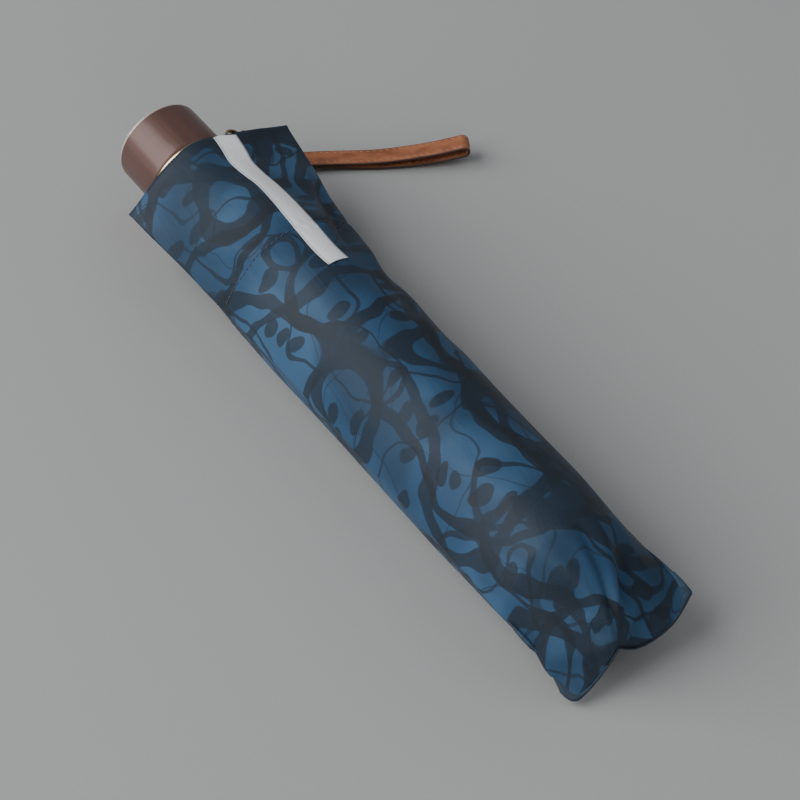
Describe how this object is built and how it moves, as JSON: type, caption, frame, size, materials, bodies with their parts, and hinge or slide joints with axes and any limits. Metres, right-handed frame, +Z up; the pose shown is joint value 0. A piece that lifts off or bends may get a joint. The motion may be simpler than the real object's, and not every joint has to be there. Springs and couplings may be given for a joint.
{
  "type": "folding umbrella",
  "caption": "Compact folding umbrella with a short cylindrical grip, carried in a fabric sleeve, with a stitched leather wrist strap.",
  "frame": {"origin": "centre of the handle's flat end face, on the shaft's axis", "axes": "+X along the shaft from the handle to the tip, +Z up as the folded umbrella lies on its side, +Y towards the wrist strap"},
  "size_m": [0.29, 0.1419, 0.0549],
  "materials": {
    "handle_lacquer": "pearl brown lacquer with fine lengthwise streaks",
    "pale_gold": "polished pale gold",
    "black_plastic": "moulded",
    "shaft_steel": "bright plated",
    "steel_wire": "plated",
    "rib_aluminium": "satin",
    "rib_resin": "glass-filled resin",
    "strap_leather": "tan, edge-painted, saddle stitched",
    "printed_fabric": "satin weave with a navy brush-stroke print",
    "label_tape": "woven satin tape",
    "navy_thread": "thread",
    "seam_tape": "dark flexible tape, smooth"
  },
  "bodies": {
    "handle": {"handle": "handle_lacquer", "handle_collar": "pale_gold", "handle_socket": "black_plastic", "lower_tube": "shaft_steel", "strap_eyelet": "pale_gold"},
    "mid_tube": {"mid_tube": "shaft_steel"},
    "upper_shaft": {"upper_tube": "shaft_steel", "crown": "black_plastic", "crown_wire": "steel_wire", "top_cap": "handle_lacquer", "closure_band": "printed_fabric"},
    "runner": {"runner": "black_plastic"},
    "runner_button": {"runner_button": "black_plastic"},
    "ring": {"ring": "pale_gold"},
    "strap": {"strap": "strap_leather"},
    "seam_tape": {"sleeve_seam_tape": "seam_tape"},
    "sleeve": {"sleeve": "printed_fabric", "sleeve_label": "label_tape"},
    "rib_inner_1": {"rib_inner_1": "rib_aluminium"},
    "rib_middle_1": {"rib_middle_1": "rib_aluminium"},
    "rib_outer_1": {"rib_outer_1": "rib_resin"},
    "stretcher_1": {"stretcher_1": "steel_wire"},
    "gore_inner_1": {"gore_inner_1": "printed_fabric"},
    "gore_middle_1": {"gore_middle_1": "printed_fabric"},
    "gore_outer_1": {"gore_outer_1": "printed_fabric"},
    "rib_inner_2": {"rib_inner_2": "rib_aluminium"},
    "rib_middle_2": {"rib_middle_2": "rib_aluminium"},
    "rib_outer_2": {"rib_outer_2": "rib_resin"},
    "stretcher_2": {"stretcher_2": "steel_wire"},
    "gore_inner_2": {"gore_inner_2": "printed_fabric"},
    "gore_middle_2": {"gore_middle_2": "printed_fabric"},
    "gore_outer_2": {"gore_outer_2": "printed_fabric"},
    "rib_inner_3": {"rib_inner_3": "rib_aluminium"},
    "rib_middle_3": {"rib_middle_3": "rib_aluminium"},
    "rib_outer_3": {"rib_outer_3": "rib_resin"},
    "stretcher_3": {"stretcher_3": "steel_wire"},
    "gore_inner_3": {"gore_inner_3": "printed_fabric"},
    "gore_middle_3": {"gore_middle_3": "printed_fabric"},
    "gore_outer_3": {"gore_outer_3": "printed_fabric"},
    "rib_inner_4": {"rib_inner_4": "rib_aluminium"},
    "rib_middle_4": {"rib_middle_4": "rib_aluminium"},
    "rib_outer_4": {"rib_outer_4": "rib_resin"},
    "stretcher_4": {"stretcher_4": "steel_wire"},
    "gore_inner_4": {"gore_inner_4": "printed_fabric"},
    "gore_middle_4": {"gore_middle_4": "printed_fabric"},
    "gore_outer_4": {"gore_outer_4": "printed_fabric"},
    "rib_inner_5": {"rib_inner_5": "rib_aluminium"},
    "rib_middle_5": {"rib_middle_5": "rib_aluminium"},
    "rib_outer_5": {"rib_outer_5": "rib_resin"},
    "stretcher_5": {"stretcher_5": "steel_wire"},
    "gore_inner_5": {"gore_inner_5": "printed_fabric"},
    "gore_middle_5": {"gore_middle_5": "printed_fabric"},
    "gore_outer_5": {"gore_outer_5": "printed_fabric"},
    "rib_inner_6": {"rib_inner_6": "rib_aluminium"},
    "rib_middle_6": {"rib_middle_6": "rib_aluminium"},
    "rib_outer_6": {"rib_outer_6": "rib_resin"},
    "stretcher_6": {"stretcher_6": "steel_wire"},
    "gore_inner_6": {"gore_inner_6": "printed_fabric"},
    "gore_middle_6": {"gore_middle_6": "printed_fabric"},
    "gore_outer_6": {"gore_outer_6": "printed_fabric"}
  },
  "joints": [
    {"name": "shaft_lower", "type": "slide", "parent": "handle", "child": "mid_tube", "axis": [1, 0, 0], "range_m": [0, 0.175]},
    {"name": "shaft_upper", "type": "slide", "parent": "mid_tube", "child": "upper_shaft", "axis": [1, 0, 0], "range_m": [0, 0.175]},
    {"name": "canopy_open", "type": "slide", "parent": "upper_shaft", "child": "runner", "axis": [1, 0, 0], "range_m": [0, 0.1011], "deforming": ["closure_band"]},
    {"name": "runner_button", "type": "slide", "parent": "runner", "child": "runner_button", "axis": [0, -0.866, -0.5], "range_m": [0, 0.0012]},
    {"name": "sleeve_pull", "type": "slide", "parent": "upper_shaft", "child": "seam_tape", "axis": [1, 0, 0], "range_m": [0, 0.28]},
    {"name": "sleeve_clear", "type": "slide", "parent": "seam_tape", "child": "sleeve", "axis": [1, 0, 0], "range_m": [0, 0.28], "deforming": ["sleeve", "sleeve_label"]},
    {"name": "ring_swing", "type": "hinge", "parent": "handle", "child": "ring", "pos_m": [0.0256, 0.01671, 0.01044], "axis": [0.9339, 0.2551, -0.2506], "range_deg": [-5, 40]},
    {"name": "strap_swing", "type": "hinge", "parent": "ring", "child": "strap", "pos_m": [0.02238, 0.02406, 0.00594], "axis": [0.9339, 0.2551, -0.2506], "range_deg": [-6, 60]},
    {"name": "rib_inner_1", "type": "hinge", "parent": "upper_shaft", "child": "rib_inner_1", "pos_m": [0.264, 0.0095, 0], "axis": [0, 0, -1], "range_deg": [0, 78]},
    {"name": "rib_middle_1", "type": "hinge", "parent": "rib_inner_1", "child": "rib_middle_1", "pos_m": [0.074, 0.0117, 0], "axis": [0, 0, 1], "range_deg": [0, 188]},
    {"name": "rib_outer_1", "type": "hinge", "parent": "rib_middle_1", "child": "rib_outer_1", "pos_m": [0.256, 0.01495, 0], "axis": [0, 0, -1], "range_deg": [0, 172]},
    {"name": "stretcher_1", "type": "hinge", "parent": "rib_inner_1", "child": "stretcher_1", "pos_m": [0.184, 0.0095, 0], "axis": [0, 0, 1], "range_deg": [0, 129.49]},
    {"name": "gore_inner_1", "type": "hinge", "parent": "rib_inner_1", "child": "gore_inner_1", "pos_m": [0.27405, 0.0111, 0], "axis": [0, 0.9929, 0.1192], "range_deg": [0, 58.56], "deforming": ["gore_inner_1"]},
    {"name": "gore_middle_1", "type": "hinge", "parent": "rib_middle_1", "child": "gore_middle_1", "pos_m": [-0.13415, 0.0123, 0], "axis": [0, -0.9811, 0.1937], "range_deg": [0, 56.05], "deforming": ["gore_middle_1"]},
    {"name": "gore_outer_1", "type": "hinge", "parent": "rib_outer_1", "child": "gore_outer_1", "pos_m": [0.67161, 0.0176, 0], "axis": [0, 0.9652, 0.2616], "range_deg": [0, 52.4], "deforming": ["gore_outer_1"]},
    {"name": "rib_inner_2", "type": "hinge", "parent": "upper_shaft", "child": "rib_inner_2", "pos_m": [0.264, 0.00475, 0.00823], "axis": [0, 0.866, -0.5], "range_deg": [0, 78]},
    {"name": "rib_middle_2", "type": "hinge", "parent": "rib_inner_2", "child": "rib_middle_2", "pos_m": [0.074, 0.00585, 0.01013], "axis": [0, -0.866, 0.5], "range_deg": [0, 188]},
    {"name": "rib_outer_2", "type": "hinge", "parent": "rib_middle_2", "child": "rib_outer_2", "pos_m": [0.256, 0.00747, 0.01295], "axis": [0, 0.866, -0.5], "range_deg": [0, 172]},
    {"name": "stretcher_2", "type": "hinge", "parent": "rib_inner_2", "child": "stretcher_2", "pos_m": [0.184, 0.00475, 0.00823], "axis": [0, -0.866, 0.5], "range_deg": [0, 129.49]},
    {"name": "gore_inner_2", "type": "hinge", "parent": "rib_inner_2", "child": "gore_inner_2", "pos_m": [0.27405, 0.00555, 0.00961], "axis": [0, 0.3932, 0.9194], "range_deg": [0, 58.56], "deforming": ["gore_inner_2"]},
    {"name": "gore_middle_2", "type": "hinge", "parent": "rib_middle_2", "child": "gore_middle_2", "pos_m": [-0.13415, 0.00615, 0.01065], "axis": [0, -0.6583, -0.7528], "range_deg": [0, 56.05], "deforming": ["gore_middle_2"]},
    {"name": "gore_outer_2", "type": "hinge", "parent": "rib_outer_2", "child": "gore_outer_2", "pos_m": [0.67161, 0.0088, 0.01524], "axis": [0, 0.256, 0.9667], "range_deg": [0, 52.4], "deforming": ["gore_outer_2"]},
    {"name": "rib_inner_3", "type": "hinge", "parent": "upper_shaft", "child": "rib_inner_3", "pos_m": [0.264, -0.00475, 0.00823], "axis": [0, 0.866, 0.5], "range_deg": [0, 78]},
    {"name": "rib_middle_3", "type": "hinge", "parent": "rib_inner_3", "child": "rib_middle_3", "pos_m": [0.074, -0.00585, 0.01013], "axis": [0, -0.866, -0.5], "range_deg": [0, 188]},
    {"name": "rib_outer_3", "type": "hinge", "parent": "rib_middle_3", "child": "rib_outer_3", "pos_m": [0.256, -0.00747, 0.01295], "axis": [0, 0.866, 0.5], "range_deg": [0, 172]},
    {"name": "stretcher_3", "type": "hinge", "parent": "rib_inner_3", "child": "stretcher_3", "pos_m": [0.184, -0.00475, 0.00823], "axis": [0, -0.866, -0.5], "range_deg": [0, 129.49]},
    {"name": "gore_inner_3", "type": "hinge", "parent": "rib_inner_3", "child": "gore_inner_3", "pos_m": [0.27405, -0.00555, 0.00961], "axis": [0, -0.5997, 0.8003], "range_deg": [0, 58.56], "deforming": ["gore_inner_3"]},
    {"name": "gore_middle_3", "type": "hinge", "parent": "rib_middle_3", "child": "gore_middle_3", "pos_m": [-0.13415, -0.00615, 0.01065], "axis": [0, 0.3228, -0.9465], "range_deg": [0, 56.05], "deforming": ["gore_middle_3"]},
    {"name": "gore_outer_3", "type": "hinge", "parent": "rib_outer_3", "child": "gore_outer_3", "pos_m": [0.67161, -0.0088, 0.01524], "axis": [0, -0.7091, 0.7051], "range_deg": [0, 52.4], "deforming": ["gore_outer_3"]},
    {"name": "rib_inner_4", "type": "hinge", "parent": "upper_shaft", "child": "rib_inner_4", "pos_m": [0.264, -0.0095, 0], "axis": [0, 0, 1], "range_deg": [0, 78]},
    {"name": "rib_middle_4", "type": "hinge", "parent": "rib_inner_4", "child": "rib_middle_4", "pos_m": [0.074, -0.0117, 0], "axis": [0, 0, -1], "range_deg": [0, 188]},
    {"name": "rib_outer_4", "type": "hinge", "parent": "rib_middle_4", "child": "rib_outer_4", "pos_m": [0.256, -0.01495, 0], "axis": [0, 0, 1], "range_deg": [0, 172]},
    {"name": "stretcher_4", "type": "hinge", "parent": "rib_inner_4", "child": "stretcher_4", "pos_m": [0.184, -0.0095, 0], "axis": [0, 0, -1], "range_deg": [0, 129.49]},
    {"name": "gore_inner_4", "type": "hinge", "parent": "rib_inner_4", "child": "gore_inner_4", "pos_m": [0.27405, -0.0111, 0], "axis": [0, -0.9929, -0.1192], "range_deg": [0, 58.56], "deforming": ["gore_inner_4"]},
    {"name": "gore_middle_4", "type": "hinge", "parent": "rib_middle_4", "child": "gore_middle_4", "pos_m": [-0.13415, -0.0123, 0], "axis": [0, 0.9811, -0.1937], "range_deg": [0, 56.05], "deforming": ["gore_middle_4"]},
    {"name": "gore_outer_4", "type": "hinge", "parent": "rib_outer_4", "child": "gore_outer_4", "pos_m": [0.67161, -0.0176, 0], "axis": [0, -0.9652, -0.2616], "range_deg": [0, 52.4], "deforming": ["gore_outer_4"]},
    {"name": "rib_inner_5", "type": "hinge", "parent": "upper_shaft", "child": "rib_inner_5", "pos_m": [0.264, -0.00475, -0.00823], "axis": [0, -0.866, 0.5], "range_deg": [0, 78]},
    {"name": "rib_middle_5", "type": "hinge", "parent": "rib_inner_5", "child": "rib_middle_5", "pos_m": [0.074, -0.00585, -0.01013], "axis": [0, 0.866, -0.5], "range_deg": [0, 188]},
    {"name": "rib_outer_5", "type": "hinge", "parent": "rib_middle_5", "child": "rib_outer_5", "pos_m": [0.256, -0.00747, -0.01295], "axis": [0, -0.866, 0.5], "range_deg": [0, 172]},
    {"name": "stretcher_5", "type": "hinge", "parent": "rib_inner_5", "child": "stretcher_5", "pos_m": [0.184, -0.00475, -0.00823], "axis": [0, 0.866, -0.5], "range_deg": [0, 129.49]},
    {"name": "gore_inner_5", "type": "hinge", "parent": "rib_inner_5", "child": "gore_inner_5", "pos_m": [0.27405, -0.00555, -0.00961], "axis": [0, -0.3932, -0.9194], "range_deg": [0, 58.56], "deforming": ["gore_inner_5"]},
    {"name": "gore_middle_5", "type": "hinge", "parent": "rib_middle_5", "child": "gore_middle_5", "pos_m": [-0.13415, -0.00615, -0.01065], "axis": [0, 0.6583, 0.7528], "range_deg": [0, 56.05], "deforming": ["gore_middle_5"]},
    {"name": "gore_outer_5", "type": "hinge", "parent": "rib_outer_5", "child": "gore_outer_5", "pos_m": [0.67161, -0.0088, -0.01524], "axis": [0, -0.256, -0.9667], "range_deg": [0, 52.4], "deforming": ["gore_outer_5"]},
    {"name": "rib_inner_6", "type": "hinge", "parent": "upper_shaft", "child": "rib_inner_6", "pos_m": [0.264, 0.00475, -0.00823], "axis": [0, -0.866, -0.5], "range_deg": [0, 78]},
    {"name": "rib_middle_6", "type": "hinge", "parent": "rib_inner_6", "child": "rib_middle_6", "pos_m": [0.074, 0.00585, -0.01013], "axis": [0, 0.866, 0.5], "range_deg": [0, 188]},
    {"name": "rib_outer_6", "type": "hinge", "parent": "rib_middle_6", "child": "rib_outer_6", "pos_m": [0.256, 0.00747, -0.01295], "axis": [0, -0.866, -0.5], "range_deg": [0, 172]},
    {"name": "stretcher_6", "type": "hinge", "parent": "rib_inner_6", "child": "stretcher_6", "pos_m": [0.184, 0.00475, -0.00823], "axis": [0, 0.866, 0.5], "range_deg": [0, 129.49]},
    {"name": "gore_inner_6", "type": "hinge", "parent": "rib_inner_6", "child": "gore_inner_6", "pos_m": [0.27405, 0.00555, -0.00961], "axis": [0, 0.5997, -0.8003], "range_deg": [0, 58.56], "deforming": ["gore_inner_6"]},
    {"name": "gore_middle_6", "type": "hinge", "parent": "rib_middle_6", "child": "gore_middle_6", "pos_m": [-0.13415, 0.00615, -0.01065], "axis": [0, -0.3228, 0.9465], "range_deg": [0, 56.05], "deforming": ["gore_middle_6"]},
    {"name": "gore_outer_6", "type": "hinge", "parent": "rib_outer_6", "child": "gore_outer_6", "pos_m": [0.67161, 0.0088, -0.01524], "axis": [0, 0.7091, -0.7051], "range_deg": [0, 52.4], "deforming": ["gore_outer_6"]}
  ],
  "couplings": [
    {"joint": "sleeve_clear", "follows": "canopy_open", "ratio": 2.7694},
    {"joint": "rib_inner_1", "follows": "canopy_open", "rad_per_m": 13.465},
    {"joint": "rib_middle_1", "follows": "canopy_open", "rad_per_m": 32.454},
    {"joint": "rib_outer_1", "follows": "canopy_open", "rad_per_m": 29.692},
    {"joint": "stretcher_1", "follows": "canopy_open", "rad_per_m": 22.354},
    {"joint": "gore_inner_1", "follows": "canopy_open", "rad_per_m": 10.109},
    {"joint": "gore_middle_1", "follows": "canopy_open", "rad_per_m": 9.6755},
    {"joint": "gore_outer_1", "follows": "canopy_open", "rad_per_m": 9.0449},
    {"joint": "rib_inner_2", "follows": "canopy_open", "rad_per_m": 13.465},
    {"joint": "rib_middle_2", "follows": "canopy_open", "rad_per_m": 32.454},
    {"joint": "rib_outer_2", "follows": "canopy_open", "rad_per_m": 29.692},
    {"joint": "stretcher_2", "follows": "canopy_open", "rad_per_m": 22.354},
    {"joint": "gore_inner_2", "follows": "canopy_open", "rad_per_m": 10.109},
    {"joint": "gore_middle_2", "follows": "canopy_open", "rad_per_m": 9.6755},
    {"joint": "gore_outer_2", "follows": "canopy_open", "rad_per_m": 9.0449},
    {"joint": "rib_inner_3", "follows": "canopy_open", "rad_per_m": 13.465},
    {"joint": "rib_middle_3", "follows": "canopy_open", "rad_per_m": 32.454},
    {"joint": "rib_outer_3", "follows": "canopy_open", "rad_per_m": 29.692},
    {"joint": "stretcher_3", "follows": "canopy_open", "rad_per_m": 22.354},
    {"joint": "gore_inner_3", "follows": "canopy_open", "rad_per_m": 10.109},
    {"joint": "gore_middle_3", "follows": "canopy_open", "rad_per_m": 9.6755},
    {"joint": "gore_outer_3", "follows": "canopy_open", "rad_per_m": 9.0449},
    {"joint": "rib_inner_4", "follows": "canopy_open", "rad_per_m": 13.465},
    {"joint": "rib_middle_4", "follows": "canopy_open", "rad_per_m": 32.454},
    {"joint": "rib_outer_4", "follows": "canopy_open", "rad_per_m": 29.692},
    {"joint": "stretcher_4", "follows": "canopy_open", "rad_per_m": 22.354},
    {"joint": "gore_inner_4", "follows": "canopy_open", "rad_per_m": 10.109},
    {"joint": "gore_middle_4", "follows": "canopy_open", "rad_per_m": 9.6755},
    {"joint": "gore_outer_4", "follows": "canopy_open", "rad_per_m": 9.0449},
    {"joint": "rib_inner_5", "follows": "canopy_open", "rad_per_m": 13.465},
    {"joint": "rib_middle_5", "follows": "canopy_open", "rad_per_m": 32.454},
    {"joint": "rib_outer_5", "follows": "canopy_open", "rad_per_m": 29.692},
    {"joint": "stretcher_5", "follows": "canopy_open", "rad_per_m": 22.354},
    {"joint": "gore_inner_5", "follows": "canopy_open", "rad_per_m": 10.109},
    {"joint": "gore_middle_5", "follows": "canopy_open", "rad_per_m": 9.6755},
    {"joint": "gore_outer_5", "follows": "canopy_open", "rad_per_m": 9.0449},
    {"joint": "rib_inner_6", "follows": "canopy_open", "rad_per_m": 13.465},
    {"joint": "rib_middle_6", "follows": "canopy_open", "rad_per_m": 32.454},
    {"joint": "rib_outer_6", "follows": "canopy_open", "rad_per_m": 29.692},
    {"joint": "stretcher_6", "follows": "canopy_open", "rad_per_m": 22.354},
    {"joint": "gore_inner_6", "follows": "canopy_open", "rad_per_m": 10.109},
    {"joint": "gore_middle_6", "follows": "canopy_open", "rad_per_m": 9.6755},
    {"joint": "gore_outer_6", "follows": "canopy_open", "rad_per_m": 9.0449}
  ]
}
